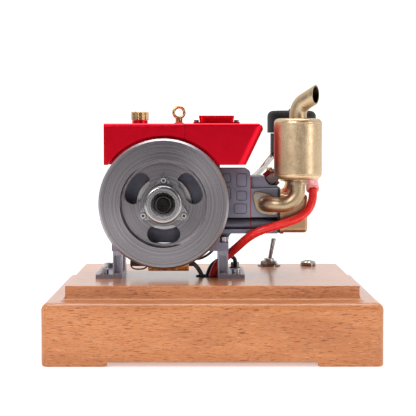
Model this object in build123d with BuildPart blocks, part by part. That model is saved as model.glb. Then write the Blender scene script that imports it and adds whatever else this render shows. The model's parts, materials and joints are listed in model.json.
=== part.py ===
from build123d import *
import math
import os

# Single-cylinder horizontal four-stroke display engine on a hollow wooden base.
# All lengths are in millimetres. The origin is at the middle of the base's underside:
# X runs to the cylinder head, Y to the rear, Z up.

# ---------------------------------------------------------------- driving dimensions
BASE_LENGTH = 161.0
BASE_DEPTH = 125.0
LOWER_TOP = 30.0        # top of the base's wide tier
BASE_TOP = 37.0         # top of the plateau that carries the engine
PLATEAU_LENGTH = 140.0
PLATEAU_DEPTH = 104.0
FOOT_LIFT = 2.2         # the underside stands this far off the table between the feet

CRANK_X = -23.7
CRANK_Z = 75.0
CYLINDER_Y = -3.0       # the cylinder lies along X at this depth
BORE = 12.5
STROKE = 13.0
ROD_LENGTH = 30.0
FLYWHEEL_RADIUS = 31.8
FLYWHEEL_FRONT = -36.0
FLYWHEEL_BACK = -24.0

WEB_FRONT = FLYWHEEL_FRONT + 3.6

CASE_FRONT = -21.5
CASE_BACK = 15.5
CASE_LEFT = -46.0
CASE_RIGHT = 4.0
CASE_BOTTOM = 55.0
CASE_TOP = 94.0
LUG_BOTTOM = 50.8

BLOCK_END = 19.2
BLOCK_TOP = 91.7
TUNNEL_TOP = 67.3       # the pushrod tunnel lies under this height
HEAD_FACE = 19.7        # where the head meets its gasket
HEAD_TOP = 87.7
HEAD_LEDGE = 82.0       # the head's upper part is set back above this height
HEAD_END = 32.9
COVER_START = 34.3
COVER_END = 48.1

GEAR_MODULE = 0.5
GEARS_BACK = -12.0
GEAR_WIDTH = 2.7
CRANK_TEETH = 16
CAM_TEETH = 32
CAM_X = -16.6
CAM_Z = 65.36
CAM_LOBES_Y = (-10.0, 3.0)
VALVES_Y = (-6.2, 0.2)
PUSHROD_Z = 64.2
ROCKER_X = 38.6
ROCKER_Z = 69.6

MUFFLER_X = 42.2
MUFFLER_Y = -28.0
FILTER_X = 42.8
FILTER_Y = 25.0
TANK_FRONT = -34.0
TANK_BACK = 16.0
TANK_TOP = 114.2
TANK_SEAM = -13.5

HOLE_X = -2.6           # where the leads go down through the base
HOLE_Y = -11.0
SWITCH_X = 31.8
SWITCH_Y = 40.2
LED_X = 53.3
LED_Y = 41.0

os.makedirs("parts", exist_ok=True)


# ---------------------------------------------------------------- helpers
def facing_front(y):
    """A plane at depth y whose sketch is (X, Z) and which extrudes toward the front."""
    return Plane.XZ.offset(-y)


def facing_right(x):
    """A plane at x whose sketch is (Y, Z) and which extrudes toward +X."""
    return Plane.YZ.offset(x)


def bar_x(y, z, radius, x0, x1, mode=Mode.ADD):
    with BuildSketch(facing_right(x0)) as outline:
        with Locations((y, z)):
            Circle(radius)
    extrude(outline.sketch, amount=x1 - x0, mode=mode)


def bar_y(x, z, radius, y0, y1, mode=Mode.ADD):
    with BuildSketch(facing_front(y1)) as outline:
        with Locations((x, z)):
            Circle(radius)
    extrude(outline.sketch, amount=y1 - y0, mode=mode)


def bar_z(x, y, radius, z0, z1, mode=Mode.ADD):
    with BuildSketch(Plane.XY.offset(z0)) as outline:
        with Locations((x, y)):
            Circle(radius)
    extrude(outline.sketch, amount=z1 - z0, mode=mode)


def slab(x0, x1, y0, y1, z0, z1, corner=0.0, mode=Mode.ADD):
    """A box between two corners, with its upright edges rounded when corner is given."""
    with BuildSketch(Plane.XY.offset(z0)) as outline:
        with Locations(((x0 + x1) / 2, (y0 + y1) / 2)):
            if corner > 0:
                RectangleRounded(x1 - x0, y1 - y0, corner)
            else:
                Rectangle(x1 - x0, y1 - y0)
    extrude(outline.sketch, amount=z1 - z0, mode=mode)


def profile_y(points, y0, y1, mode=Mode.ADD):
    """A straight-sided (X, Z) outline pushed through from depth y0 to y1."""
    with BuildSketch(facing_front(y1)) as outline:
        with BuildLine():
            Polyline(*points, close=True)
        make_face()
    extrude(outline.sketch, amount=y1 - y0, mode=mode)


def socket_screw(plane, head, height, shank, length, socket):
    """A cap screw whose head stands on the plane and whose shank goes down behind it."""
    with BuildSketch(plane) as cap:
        Circle(head)
    extrude(cap.sketch, amount=height)
    with BuildSketch(plane.offset(0.45 * height)) as key:
        RegularPolygon(socket, 6)
    extrude(key.sketch, amount=0.55 * height, mode=Mode.SUBTRACT)
    with BuildSketch(plane.offset(-length)) as stem:
        Circle(shank)
    extrude(stem.sketch, amount=length)


def tunnel(x0, x1, mode=Mode.ADD):
    """The pushrod tunnel under the cylinder, with the flange along its underside."""
    with BuildSketch(facing_right(x0)) as outline:
        with Locations((-10.6, 63.4), (4.6, 63.4)):
            Circle(4.1)
        make_hull()
        with Locations((CYLINDER_Y, 60.3)):
            Rectangle(28, 2.2)
    extrude(outline.sketch, amount=x1 - x0, mode=mode)


def corner_radii(points):
    """The largest radius that each corner's two runs leave room for."""
    radii = []
    for before, corner, after in zip(points, points[1:], points[2:]):
        come = Vector(*corner) - Vector(*before)
        go = Vector(*after) - Vector(*corner)
        turn = math.radians(come.get_angle(go))
        shorter = min(come.length, go.length)
        radii.append(0.45 * shorter / math.tan(turn / 2))
    return radii


def check_tube(name, points, radius, solid):
    """Print a tube's radii and compare its volume with its section times its length."""
    radii = corner_radii(points)
    line = FilletPolyline(*points, radius=radii)
    ideal = math.pi * radius * radius * line.length
    print(name, "radii", [round(r, 1) for r in radii], "diameters",
          [round(r / (2 * radius), 1) for r in radii], "length", round(line.length, 1),
          "volume ratio", round(solid.volume / ideal, 4))


def finish(builder, label):
    builder.part.label = label
    export_step(builder.part, "parts/" + label + ".step")


# ---------------------------------------------------------------- wooden base
FOOT_SCREWS = [(x, y) for x in (-54.1, 12.3) for y in (-17.5, 11.8)]
LUG_SCREWS = [(x, y) for x in (-47.3, 5.7) for y in (-16.0, 10.0)]
REAR_SCREWS = [(CRANK_X + sx * 12.0, CRANK_Z + sz * 12.0) for sx in (-1, 1) for sz in (-1, 1)]
FILLER_SCREWS = [(-7.8, -11.5), (12.4, -11.5)]
FLANGE_SCREWS = [(22.9, 78.1), (31.0, 70.9)]
COVER_SCREWS = [(x, y) for x in (-65.0, 65.0) for y in (-50.0, 50.0)]

with BuildPart() as wooden_base:
    slab(-BASE_LENGTH / 2, BASE_LENGTH / 2, -BASE_DEPTH / 2, BASE_DEPTH / 2,
         0, LOWER_TOP, 3.5)
    # cut away between the feet, which stand flush with the base's sides
    for foot_gap in ((100.0, BASE_DEPTH + 2), (BASE_LENGTH + 2, 67.0)):
        slab(-foot_gap[0] / 2, foot_gap[0] / 2, -foot_gap[1] / 2, foot_gap[1] / 2,
             0, FOOT_LIFT, 3.0 if foot_gap[0] < 101 else 0.0, mode=Mode.SUBTRACT)
    rim = wooden_base.edges().group_by(Axis.Z)[0]
    fillet(rim, 1.2)
    fillet(wooden_base.faces().sort_by(Axis.Z)[-1].edges(), 3.5)
    slab(-PLATEAU_LENGTH / 2, PLATEAU_LENGTH / 2, -PLATEAU_DEPTH / 2, PLATEAU_DEPTH / 2,
         LOWER_TOP, BASE_TOP)
    cove = wooden_base.edges().filter_by(
        lambda e: abs(e.center().Z - LOWER_TOP) < 0.01
        and abs(e.center().X) < PLATEAU_LENGTH / 2 + 0.1
        and abs(e.center().Y) < PLATEAU_DEPTH / 2 + 0.1)
    fillet(cove, 3.0)
    fillet(wooden_base.faces().sort_by(Axis.Z)[-1].edges(), 0.5)
    # rebate for the bottom cover, then the space inside
    slab(-68, 68, -53, 53, 0, 4.5, 2.0, mode=Mode.SUBTRACT)
    slab(-62, 62, -47, 47, 4.5, 31.0, 3.0, mode=Mode.SUBTRACT)
    bar_z(HOLE_X, HOLE_Y, 5.55, 31.0, BASE_TOP, mode=Mode.SUBTRACT)
    bar_z(SWITCH_X, SWITCH_Y, 3.0, 31.0, BASE_TOP, mode=Mode.SUBTRACT)
    bar_z(LED_X, LED_Y, 3.0, 31.0, BASE_TOP, mode=Mode.SUBTRACT)
    for x, y in FOOT_SCREWS:
        bar_z(x, y, 1.25, 31.0, BASE_TOP, mode=Mode.SUBTRACT)
    for x, y in COVER_SCREWS:
        bar_z(x, y, 1.0, 4.5, 12.0, mode=Mode.SUBTRACT)
finish(wooden_base, "wooden_base")

with BuildPart() as bottom_cover:
    slab(-67.7, 67.7, -52.7, 52.7, 2.1, 4.5, 1.8)
    for x, y in COVER_SCREWS:
        bar_z(x, y, 1.0, 2.0, 4.5, mode=Mode.SUBTRACT)
finish(bottom_cover, "bottom_cover")

with BuildPart() as cable_grommet:
    bar_z(HOLE_X, HOLE_Y, 5.55, 31.0, 37.4)
    bar_z(HOLE_X, HOLE_Y, 5.1, 31.0, 37.4, mode=Mode.SUBTRACT)
finish(cable_grommet, "cable_grommet")

with BuildPart() as switch_body:
    slab(SWITCH_X - 6.6, SWITCH_X + 6.6, SWITCH_Y - 4, SWITCH_Y + 4, 21.5, 31.0)
    bar_z(SWITCH_X, SWITCH_Y, 3.0, 31.0, 41.2)
    fillet(switch_body.edges().group_by(Axis.Z)[-1], 0.3)
    bar_z(SWITCH_X, SWITCH_Y, 2.3, 34.0, 41.2, mode=Mode.SUBTRACT)
    for dx in (-4.7, 0.0, 4.7):
        slab(SWITCH_X + dx - 0.4, SWITCH_X + dx + 0.4, SWITCH_Y - 1, SWITCH_Y + 1, 17.5, 21.5)
finish(switch_body, "switch_body")

with BuildPart() as switch_nut:
    bar_z(SWITCH_X, SWITCH_Y, 6.2, BASE_TOP, 37.7)
    with BuildSketch(Plane.XY.offset(37.7)):
        with Locations((SWITCH_X, SWITCH_Y)):
            RegularPolygon(4.9, 6, rotation=15)
    extrude(amount=2.0)
    bar_z(SWITCH_X, SWITCH_Y, 3.0, BASE_TOP, 39.7, mode=Mode.SUBTRACT)
finish(switch_nut, "switch_nut")

# the lever leans 11 degrees to +X from a ball in the bushing's bore
LEVER_LEAN = 11.0
lean = math.radians(LEVER_LEAN)
lever_plane = Plane(origin=(SWITCH_X, SWITCH_Y, 38.9), x_dir=(math.cos(lean), 0, -math.sin(lean)),
                    z_dir=(math.sin(lean), 0, math.cos(lean)))
with BuildPart() as switch_lever:
    with BuildSketch(lever_plane):
        Circle(1.0)
    with BuildSketch(lever_plane.offset(13.6)):
        Circle(1.35)
    loft()
    fillet(switch_lever.edges().sort_by(Axis.Z)[-1], 0.9)
    with BuildSketch(Plane(origin=(SWITCH_X, SWITCH_Y, 38.9), x_dir=(1, 0, 0),
                           z_dir=(0, -1, 0))):
        with BuildLine():
            CenterArc((0, 0), 2.0, -90, 180)
            Line((0, 2.0), (0, -2.0))
        make_face()
    revolve(axis=Axis((SWITCH_X, SWITCH_Y, 38.9), (0, 0, 1)))
finish(switch_lever, "switch_lever")

with BuildPart() as led_bezel:
    bar_z(LED_X, LED_Y, 3.0, 29.0, BASE_TOP)
    bar_z(LED_X, LED_Y, 4.2, BASE_TOP, 39.6)
    chamfer(led_bezel.edges().group_by(Axis.Z)[-1], 0.8)
    bar_z(LED_X, LED_Y, 2.45, 29.0, 39.6, mode=Mode.SUBTRACT)
finish(led_bezel, "led_bezel")

with BuildPart() as led_lens:
    bar_z(LED_X, LED_Y, 2.45, 32.0, 40.2)
    fillet(led_lens.edges().group_by(Axis.Z)[-1], 1.6)
finish(led_lens, "led_lens")


# ---------------------------------------------------------------- mounting feet
def mounting_foot(plate_x0, plate_x1, wall_x0, wall_x1):
    """One angle bracket: a flat plate, two legs and the pocket in its front face."""
    slab(plate_x0, plate_x1, CASE_FRONT, CASE_BACK, BASE_TOP, 39.0)
    slab(wall_x0, wall_x1, CASE_FRONT, -13.0, BASE_TOP, LUG_BOTTOM)
    slab(wall_x0, wall_x1, 2.5, CASE_BACK, BASE_TOP, LUG_BOTTOM)
    slab(wall_x0 + 0.8, wall_x1 - 0.8, CASE_FRONT, CASE_FRONT + 4, 39.8, 48.6,
         mode=Mode.SUBTRACT)
    for x, y in FOOT_SCREWS:
        bar_z(x, y, 1.25, BASE_TOP, 39.0, mode=Mode.SUBTRACT)
    for x, y in LUG_SCREWS:
        bar_z(x, y, 1.1, 46.0, LUG_BOTTOM, mode=Mode.SUBTRACT)


with BuildPart() as left_foot:
    mounting_foot(-58.1, -45.0, -49.5, -45.0)
finish(left_foot, "left_foot")

with BuildPart() as right_foot:
    mounting_foot(3.0, 16.4, 3.0, 8.1)
finish(right_foot, "right_foot")

with BuildPart() as mount_screws:
    for x, y in FOOT_SCREWS:
        top = 39.5 if (x > 0 and y > 0) else 39.0
        socket_screw(Plane.XY.offset(top).shift_origin((x, y, top)), 2.25, 2.5, 1.25,
                     top - 31.0, 1.2)
    for x, y in LUG_SCREWS:
        socket_screw(Plane.XY.offset(55.0).shift_origin((x, y, 55.0)), 2.3, 2.5, 1.1, 9.0, 1.2)
finish(mount_screws, "mount_screws")

# ---------------------------------------------------------------- crankcase
with BuildPart() as crankcase:
    slab(CASE_LEFT, CASE_RIGHT, CASE_FRONT, CASE_BACK, CASE_BOTTOM, CASE_TOP)
    upright = crankcase.edges().filter_by(Axis.Y).filter_by(lambda e: e.center().X < 0)
    fillet(upright.sort_by(Axis.X)[0:2], 3.0)
    slab(-50.0, -38.0, CASE_FRONT, CASE_BACK, LUG_BOTTOM, CASE_BOTTOM)
    slab(-2.0, 8.3, CASE_FRONT, CASE_BACK, LUG_BOTTOM, CASE_BOTTOM)
    slab(-38.0, -34.0, CASE_FRONT, CASE_BACK, 53.4, CASE_BOTTOM)
    bar_y(CRANK_X, CRANK_Z, 15.5, -15.0, CASE_BACK, mode=Mode.SUBTRACT)
    bar_y(CRANK_X, CRANK_Z, 6.5, CASE_FRONT, -15.0, mode=Mode.SUBTRACT)
    bar_y(CAM_X, CAM_Z, 8.9, -15.0, -11.2, mode=Mode.SUBTRACT)
    bar_y(CAM_X, CAM_Z, 1.56, -19.2, -15.0, mode=Mode.SUBTRACT)
    bar_x(CYLINDER_Y, CRANK_Z, 7.8, -12.0, CASE_RIGHT, mode=Mode.SUBTRACT)
    for y in CAM_LOBES_Y:
        bar_x(y, PUSHROD_Z, 1.56, -15.0, CASE_RIGHT, mode=Mode.SUBTRACT)
    for x, y in LUG_SCREWS:
        bar_z(x, y, 1.1, LUG_BOTTOM, CASE_BOTTOM, mode=Mode.SUBTRACT)
        bar_z(x, y, 2.75, CASE_BOTTOM, 59.0, mode=Mode.SUBTRACT)
finish(crankcase, "crankcase")

with BuildPart() as front_bearing_cover:
    bar_y(CRANK_X, CRANK_Z, 13.6, -23.2, CASE_FRONT)
    chamfer(front_bearing_cover.edges().group_by(Axis.Y)[0], 0.4)
    bar_y(CRANK_X, CRANK_Z, 3.3, -23.2, CASE_FRONT, mode=Mode.SUBTRACT)
finish(front_bearing_cover, "front_bearing_cover")

with BuildPart() as main_bearings:
    for y in (-21.5, -18.1):
        bar_y(CRANK_X, CRANK_Z, 6.5, y, y + 3.0)
        bar_y(CRANK_X, CRANK_Z, 3.04, y, y + 3.0, mode=Mode.SUBTRACT)
finish(main_bearings, "main_bearings")

with BuildPart() as rear_cover:
    bar_y(CRANK_X, CRANK_Z, 15.5, 11.5, CASE_BACK)
    bar_y(CRANK_X, CRANK_Z, 18.5, CASE_BACK, 19.0)
    fillet(rear_cover.edges().group_by(Axis.Y)[-1], 1.2)
    bar_y(CAM_X, CAM_Z, 1.56, 11.5, 14.3, mode=Mode.SUBTRACT)
    for x, z in REAR_SCREWS:
        bar_y(x, z, 0.9, CASE_BACK, 19.0, mode=Mode.SUBTRACT)
finish(rear_cover, "rear_cover")

# ---------------------------------------------------------------- crank train
def gear_outline(x, z, teeth, first_angle):
    """Straight-flanked teeth with working backlash, drawn in an (X, Z) sketch."""
    pitch = GEAR_MODULE * teeth / 2
    root = pitch - 0.62
    tip = pitch + 0.38
    with Locations((x, z)):
        Circle(root)
    for i in range(teeth):
        a = math.radians(first_angle + 360.0 * i / teeth)
        corners = []
        for radius, half in ((root - 0.1, 0.48), (tip, 0.15), (tip, -0.15), (root - 0.1, -0.48)):
            corners.append((x + radius * math.cos(a) - half * math.sin(a),
                            z + radius * math.sin(a) + half * math.cos(a)))
        with BuildLine(mode=Mode.PRIVATE) as tooth:
            Polyline(*corners, close=True)
        make_face(tooth.edges())


MESH_ANGLE = math.degrees(math.atan2(CAM_Z - CRANK_Z, CAM_X - CRANK_X))

with BuildPart() as crankshaft:
    bar_y(CRANK_X, CRANK_Z, 3.0, WEB_FRONT, -9.0)
    bar_y(CRANK_X, CRANK_Z, 9.5, -9.0, -5.6)
    with BuildSketch(facing_front(GEARS_BACK)):
        gear_outline(CRANK_X, CRANK_Z, CRANK_TEETH, MESH_ANGLE)
    extrude(amount=GEAR_WIDTH)
    # an overhung crank: its pin ends just short of the rod's big end
    bar_y(CRANK_X + STROKE / 2, CRANK_Z, 2.0, -5.6, -4.8)
    bar_y(CRANK_X, CRANK_Z, 1.6, WEB_FRONT, -27.0, mode=Mode.SUBTRACT)
finish(crankshaft, "crankshaft")


def kidney(angle, radius, half_span, width):
    """A curved slot about the crank axis, in the sketch that is being drawn."""
    with BuildLine(mode=Mode.PRIVATE) as middle:
        CenterArc((CRANK_X, CRANK_Z), radius, angle - half_span, 2 * half_span)
    SlotArc(middle.edges()[0], width)


with BuildPart() as flywheel:
    bar_y(CRANK_X, CRANK_Z, FLYWHEEL_RADIUS, FLYWHEEL_FRONT, FLYWHEEL_BACK)
    chamfer(flywheel.edges().filter_by(GeomType.CIRCLE), 0.9)
    # dished front: a conical wall down to the web
    with BuildSketch(facing_front(FLYWHEEL_FRONT)):
        with Locations((CRANK_X, CRANK_Z)):
            Circle(21.4)
    extrude(amount=-3.6, taper=16, mode=Mode.SUBTRACT)
    with BuildSketch(facing_front(FLYWHEEL_BACK)):
        for angle in (30, 150, 270):
            kidney(angle, 15.4, 14.5, 8.6)
    extrude(amount=12.0, mode=Mode.SUBTRACT)
    # hollow back, which leaves a web 4 mm thick
    with BuildSketch(facing_front(FLYWHEEL_BACK)):
        with Locations((CRANK_X, CRANK_Z)):
            Circle(22.0)
            Circle(6.0, mode=Mode.SUBTRACT)
    extrude(amount=4.4, mode=Mode.SUBTRACT)
    bar_y(CRANK_X, CRANK_Z, 3.0, -40.0, FLYWHEEL_BACK, mode=Mode.SUBTRACT)
    for a in (90, 210, 330):
        dx = 11.5 * math.cos(math.radians(a))
        dz = 11.5 * math.sin(math.radians(a))
        bar_y(CRANK_X + dx, CRANK_Z + dz, 0.8, -33.0, -28.0, mode=Mode.SUBTRACT)
finish(flywheel, "flywheel")

with BuildPart() as starter_hub:
    with BuildSketch(facing_front(WEB_FRONT)):
        with Locations((CRANK_X, CRANK_Z)):
            with PolarLocations(11.4, 3, 90):
                Circle(2.2)
        make_hull()
        with Locations((CRANK_X, CRANK_Z)):
            Circle(9.3)
    extrude(amount=2.0)
    bar_y(CRANK_X, CRANK_Z, 9.3, -42.4, WEB_FRONT)
    fillet(starter_hub.edges().group_by(Axis.Y)[0], 1.4)
    with BuildSketch(facing_front(-42.4)):
        with Locations((CRANK_X, CRANK_Z)):
            Circle(6.0)
    extrude(amount=-2.6, taper=40, mode=Mode.SUBTRACT)
    bar_y(CRANK_X, CRANK_Z, 3.7, -40.0, -36.4, mode=Mode.SUBTRACT)
    bar_y(CRANK_X, CRANK_Z, 1.6, -42.4, WEB_FRONT, mode=Mode.SUBTRACT)
    for a in (90, 210, 330):
        dx = 11.5 * math.cos(math.radians(a))
        dz = 11.5 * math.sin(math.radians(a))
        bar_y(CRANK_X + dx, CRANK_Z + dz, 0.8, -36.0, WEB_FRONT, mode=Mode.SUBTRACT)
finish(starter_hub, "starter_hub")

with BuildPart() as hub_screws:
    socket_screw(Plane(origin=(CRANK_X, -36.4, CRANK_Z), x_dir=(1, 0, 0), z_dir=(0, -1, 0)),
                 2.9, 2.2, 1.6, 9.2, 1.5)
    for a in (90, 210, 330):
        dx = 11.5 * math.cos(math.radians(a))
        dz = 11.5 * math.sin(math.radians(a))
        plane = Plane(origin=(CRANK_X + dx, WEB_FRONT - 2.0, CRANK_Z + dz),
                      x_dir=(1, 0, 0), z_dir=(0, -1, 0))
        socket_screw(plane, 1.4, 1.3, 0.8, 6.4, 0.75)
finish(hub_screws, "hub_screws")

with BuildPart() as camshaft:
    bar_y(CAM_X, CAM_Z, 1.5, -18.8, 13.9)
    with BuildSketch(facing_front(GEARS_BACK)):
        gear_outline(CAM_X, CAM_Z, CAM_TEETH, MESH_ANGLE + 180 + 180 / CAM_TEETH)
        with Locations((CAM_X, CAM_Z)):
            with PolarLocations(4.6, 6):
                Circle(1.3, mode=Mode.SUBTRACT)
    extrude(amount=GEAR_WIDTH)
    for y, angle in ((CAM_LOBES_Y[0], 150), (CAM_LOBES_Y[1], 250)):
        dx = 1.6 * math.cos(math.radians(angle))
        dz = 1.6 * math.sin(math.radians(angle))
        with BuildSketch(facing_front(y + 0.6)):
            with Locations((CAM_X, CAM_Z)):
                Circle(2.2)
            with Locations((CAM_X + dx, CAM_Z + dz)):
                Circle(1.5)
            make_hull()
        extrude(amount=1.2)
finish(camshaft, "camshaft")

PIN_X = CRANK_X + STROKE / 2 + ROD_LENGTH   # wrist pin at top dead centre

with BuildPart() as cylinder_liner:
    bar_x(CYLINDER_Y, CRANK_Z, 7.8, -7.0, BLOCK_END)
    bar_x(CYLINDER_Y, CRANK_Z, BORE / 2, -7.0, BLOCK_END, mode=Mode.SUBTRACT)
finish(cylinder_liner, "cylinder_liner")

with BuildPart() as piston:
    bar_x(CYLINDER_Y, CRANK_Z, BORE / 2 - 0.05, PIN_X - 5, PIN_X + 5)
    bar_x(CYLINDER_Y, CRANK_Z, 4.9, PIN_X - 5, PIN_X + 3.2, mode=Mode.SUBTRACT)
    # two ring grooves, each with its ring standing a little proud of the skirt
    for x in (PIN_X + 2.3, PIN_X + 3.7):
        for edge in (x - 0.15, x + 0.7):
            bar_x(CYLINDER_Y, CRANK_Z, BORE / 2, edge, edge + 0.15, mode=Mode.SUBTRACT)
            bar_x(CYLINDER_Y, CRANK_Z, BORE / 2 - 0.5, edge, edge + 0.15)
    bar_x(CYLINDER_Y, CRANK_Z, 4.9, PIN_X - 5.0, PIN_X + 3.2, mode=Mode.SUBTRACT)
    for side in (-1, 1):
        y0, y1 = sorted((CYLINDER_Y + side * 2.2, CYLINDER_Y + side * 5.0))
        bar_y(PIN_X, CRANK_Z, 2.4, y0, y1)
    bar_y(PIN_X, CRANK_Z, 1.2, CYLINDER_Y - 5.6, CYLINDER_Y + 5.6)
finish(piston, "piston")

with BuildPart() as connecting_rod:
    with BuildSketch(facing_front(CYLINDER_Y + 1.4)):
        with Locations((PIN_X, CRANK_Z)):
            Circle(2.3)
        with Locations((PIN_X - ROD_LENGTH, CRANK_Z)):
            Circle(4.2)
        with Locations((PIN_X - ROD_LENGTH / 2, CRANK_Z)):
            Rectangle(ROD_LENGTH, 3.0)
        with Locations((PIN_X - ROD_LENGTH, CRANK_Z)):
            Circle(2.1, mode=Mode.SUBTRACT)
        with Locations((PIN_X, CRANK_Z)):
            Circle(1.24, mode=Mode.SUBTRACT)
    extrude(amount=2.8)
finish(connecting_rod, "connecting_rod")

# ---------------------------------------------------------------- cylinder block
with BuildPart() as cylinder_block:
    with BuildSketch(facing_right(CASE_RIGHT)):
        with Locations((CYLINDER_Y, (TUNNEL_TOP + BLOCK_TOP) / 2)):
            Rectangle(30, BLOCK_TOP - TUNNEL_TOP)
    extrude(amount=BLOCK_END - CASE_RIGHT)
    top_right = cylinder_block.edges().filter_by(Axis.Y).filter_by(
        lambda e: e.center().X > 18 and e.center().Z > 91)
    fillet(top_right, 2.2)
    tunnel(CASE_RIGHT, BLOCK_END)
    profile_y([(4, 55), (8.3, 55), (8.6, 57.4), (9.4, 58.6), (10.8, 59.3), (10.8, 61), (4, 61)],
              -13.2, 7.2)
    # shallow panels on the front face
    for x0, x1, z0, z1 in ((12.2, 17.6, 82.6, 89.6), (12.2, 17.6, 75.8, 80.8),
                           (10.9, 17.6, 69.2, 74.4), (5.2, 9.6, 76.4, 82.8),
                           (5.2, 9.6, 84.6, 89.6)):
        with BuildSketch(facing_front(-18.0)) as panel:
            with Locations(((x0 + x1) / 2, (z0 + z1) / 2)):
                RectangleRounded(x1 - x0, z1 - z0, 1.2)
                RectangleRounded(x1 - x0 - 0.9, z1 - z0 - 0.9, 0.8, mode=Mode.SUBTRACT)
        extrude(panel.sketch, amount=-0.35, mode=Mode.SUBTRACT)
    bar_x(CYLINDER_Y, CRANK_Z, 7.8, 4.0, BLOCK_END, mode=Mode.SUBTRACT)
    for y in CAM_LOBES_Y:
        bar_x(y, PUSHROD_Z, 1.5, 4.0, BLOCK_END, mode=Mode.SUBTRACT)
    # crankcase breather: a boss on the rear face with a nipple toward the air filter
    bar_y(7.5, 83.5, 2.3, 12.0, 16.8)
    bar_x(15.0, 83.5, 1.2, 7.5, 10.8)
finish(cylinder_block, "cylinder_block")

with BuildPart() as head_gasket:
    slab(BLOCK_END, HEAD_FACE, -18.0, 12.0, TUNNEL_TOP, HEAD_TOP)
    tunnel(BLOCK_END, HEAD_FACE)
    bar_x(CYLINDER_Y, CRANK_Z, 6.6, BLOCK_END, HEAD_FACE, mode=Mode.SUBTRACT)
    for y in CAM_LOBES_Y:
        bar_x(y, PUSHROD_Z, 1.5, BLOCK_END, HEAD_FACE, mode=Mode.SUBTRACT)
finish(head_gasket, "head_gasket")

# ---------------------------------------------------------------- cylinder head
PLUG_Y = -5.0
PLUG_SEAT = (27.6, 84.1)
plug_lean = math.radians(40.0)
plug_axis = (math.cos(plug_lean), 0.0, math.sin(plug_lean))


def plug_plane(distance):
    """A plane square to the spark plug, the given distance out from its seat."""
    return Plane(origin=(PLUG_SEAT[0] + distance * plug_axis[0], PLUG_Y,
                         PLUG_SEAT[1] + distance * plug_axis[2]),
                 x_dir=(0, 1, 0), z_dir=plug_axis)


def plug_section(distance, radius, length, mode=Mode.ADD):
    with BuildSketch(plug_plane(distance)) as outline:
        Circle(radius)
    extrude(outline.sketch, amount=length, mode=mode)


EXHAUST_Z = 74.2
EXHAUST_X = 26.7
INTAKE_Z = 76.0

with BuildPart() as cylinder_head:
    slab(HEAD_FACE, HEAD_END, -18.0, 12.0, TUNNEL_TOP, HEAD_LEDGE)
    fillet(cylinder_head.edges().filter_by(Axis.X).filter_by(lambda e: e.center().Y < 0), 0.6)
    with BuildSketch(facing_front(12.0)):
        with BuildLine():
            Polyline((HEAD_FACE, HEAD_TOP), (HEAD_FACE, 80.0), (HEAD_END, 80.0), (HEAD_END, 83.2),
                     (30.5, 83.2))
            ThreePointArc((30.5, 83.2), (27.9, 84.6), (26.5, HEAD_TOP))
            Line((26.5, HEAD_TOP), (HEAD_FACE, HEAD_TOP))
        make_face()
    extrude(amount=28.2)
    tunnel(HEAD_FACE, HEAD_END)
    bar_x(CYLINDER_Y, CRANK_Z, 6.2, HEAD_FACE, HEAD_FACE + 2.0, mode=Mode.SUBTRACT)
    # exhaust passage to the front, intake passage to the rear
    bar_y(EXHAUST_X, EXHAUST_Z, 2.5, -18.0, VALVES_Y[0] + 1.0, mode=Mode.SUBTRACT)
    bar_y(EXHAUST_X, INTAKE_Z, 2.5, VALVES_Y[1] - 1.0, 12.0, mode=Mode.SUBTRACT)
    for y in VALVES_Y:
        bar_x(y, CRANK_Z, 2.1, HEAD_FACE + 2.0, EXHAUST_X + 1.5, mode=Mode.SUBTRACT)
        bar_x(y, CRANK_Z, 0.95, EXHAUST_X, HEAD_END, mode=Mode.SUBTRACT)
    for y in CAM_LOBES_Y:
        bar_x(y, PUSHROD_Z, 1.5, HEAD_FACE, HEAD_END, mode=Mode.SUBTRACT)
    plug_section(-7.5, 2.0, 9.0, mode=Mode.SUBTRACT)
    plug_section(0.0, 4.7, 9.0, mode=Mode.SUBTRACT)
finish(cylinder_head, "cylinder_head")

with BuildPart() as rocker_gasket:
    with BuildSketch(facing_right(HEAD_END)):
        with Locations((CYLINDER_Y, (59.4 + 82.2) / 2)):
            RectangleRounded(28, 22.8, 2.0)
        with Locations((CYLINDER_Y, (62.0 + 77.6) / 2)):
            Rectangle(24.0, 15.6, mode=Mode.SUBTRACT)
    extrude(amount=COVER_START - HEAD_END)
finish(rocker_gasket, "rocker_gasket")

with BuildPart() as rocker_cover:
    with BuildSketch(facing_right(COVER_START)):
        with Locations((CYLINDER_Y, (58.9 + 79.4) / 2)):
            RectangleRounded(28.0, 20.5, 2.6)
    extrude(amount=1.7)
    with BuildSketch(facing_right(COVER_START + 1.7)):
        with Locations((CYLINDER_Y, (58.9 + 79.4) / 2)):
            RectangleRounded(26.6, 19.3, 2.2)
    extrude(amount=COVER_END - COVER_START - 1.7)
    fillet(rocker_cover.edges().group_by(Axis.X)[-1], 1.6)
    with BuildSketch(facing_right(COVER_START)):
        with Locations((CYLINDER_Y, (62.0 + 77.6) / 2)):
            Rectangle(24.0, 15.6)
    extrude(amount=46.3 - COVER_START, mode=Mode.SUBTRACT)
finish(rocker_cover, "rocker_cover")

# ---------------------------------------------------------------- valve gear
with BuildPart() as rocker_stand:
    slab(HEAD_END, 33.9, -13.0, 7.0, 67.2, 71.6)
    for y in (-12.9, -4.2, 5.7):
        width = 1.2 if y != -4.2 else 2.4
        slab(33.9, 40.2, y, y + width, 67.8, 71.4)
    bar_y(ROCKER_X, ROCKER_Z, 1.1, -12.9, 6.9)
finish(rocker_stand, "rocker_stand")


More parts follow.
